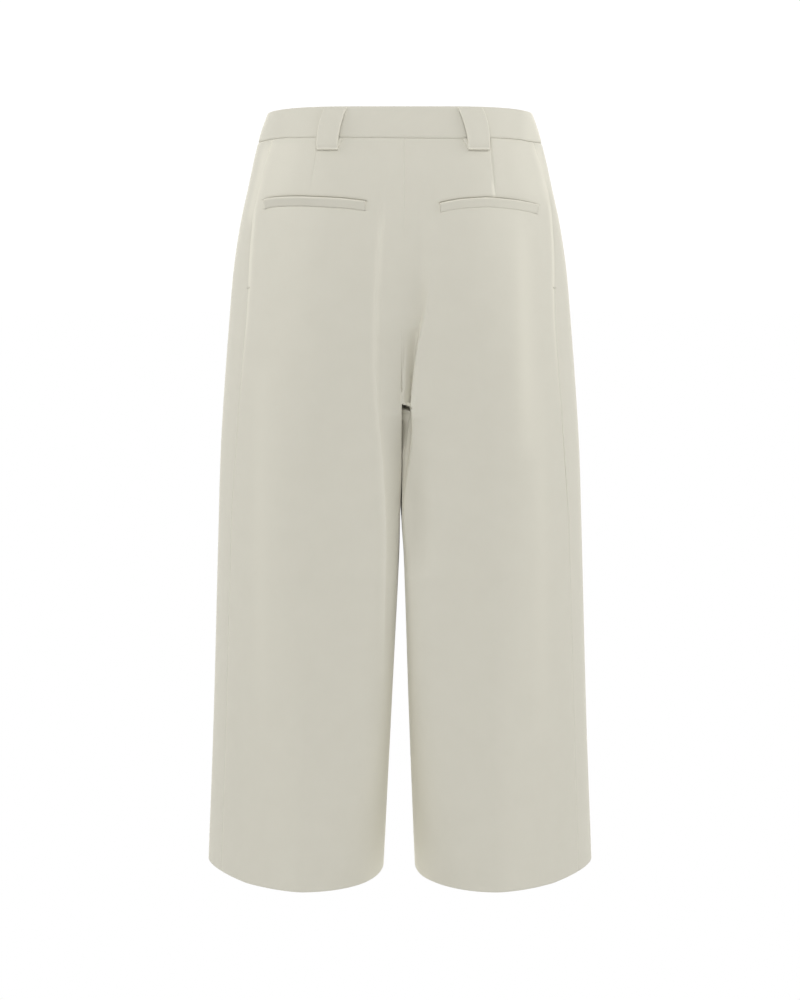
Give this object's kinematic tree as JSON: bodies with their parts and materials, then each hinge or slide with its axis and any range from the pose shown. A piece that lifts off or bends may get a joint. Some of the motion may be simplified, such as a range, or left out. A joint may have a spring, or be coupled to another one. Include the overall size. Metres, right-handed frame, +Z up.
{
  "type": "culottes",
  "caption": "High-waisted wide-leg culottes in smooth pale suiting, hollow as worn, with a buttoned waistband, belt loops, fly zip, side pockets and welted back pockets.",
  "frame": {"origin": "the middle of the waist, at half the height of the waistband, where the wearer holds the garment", "axes": "+Z up along the wearer's height, -Y towards the front with the fly, +X towards the wearer's left"},
  "size_m": [0.4002, 0.2415, 0.7756],
  "materials": {
    "suiting": "smooth fine suiting, pale stone, soft dull sheen",
    "zip_tape": "woven zip tape, matched to the cloth",
    "zip_metal": "satin metal slider",
    "button": "horn-coloured plastic, low gloss"
  },
  "bodies": {
    "root": {"back_left": "suiting", "back_right": "suiting", "front_left": "suiting", "front_right": "suiting", "waistband": "suiting", "welt_back_left": "suiting", "welt_back_right": "suiting", "belt_loop_back_left": "suiting", "belt_loop_back_right": "suiting", "belt_loop_front_left": "suiting", "belt_loop_front_right": "suiting", "fly_zip": "zip_tape", "zip_slider": "zip_metal", "waist_button": "button"}
  },
  "joints": []
}
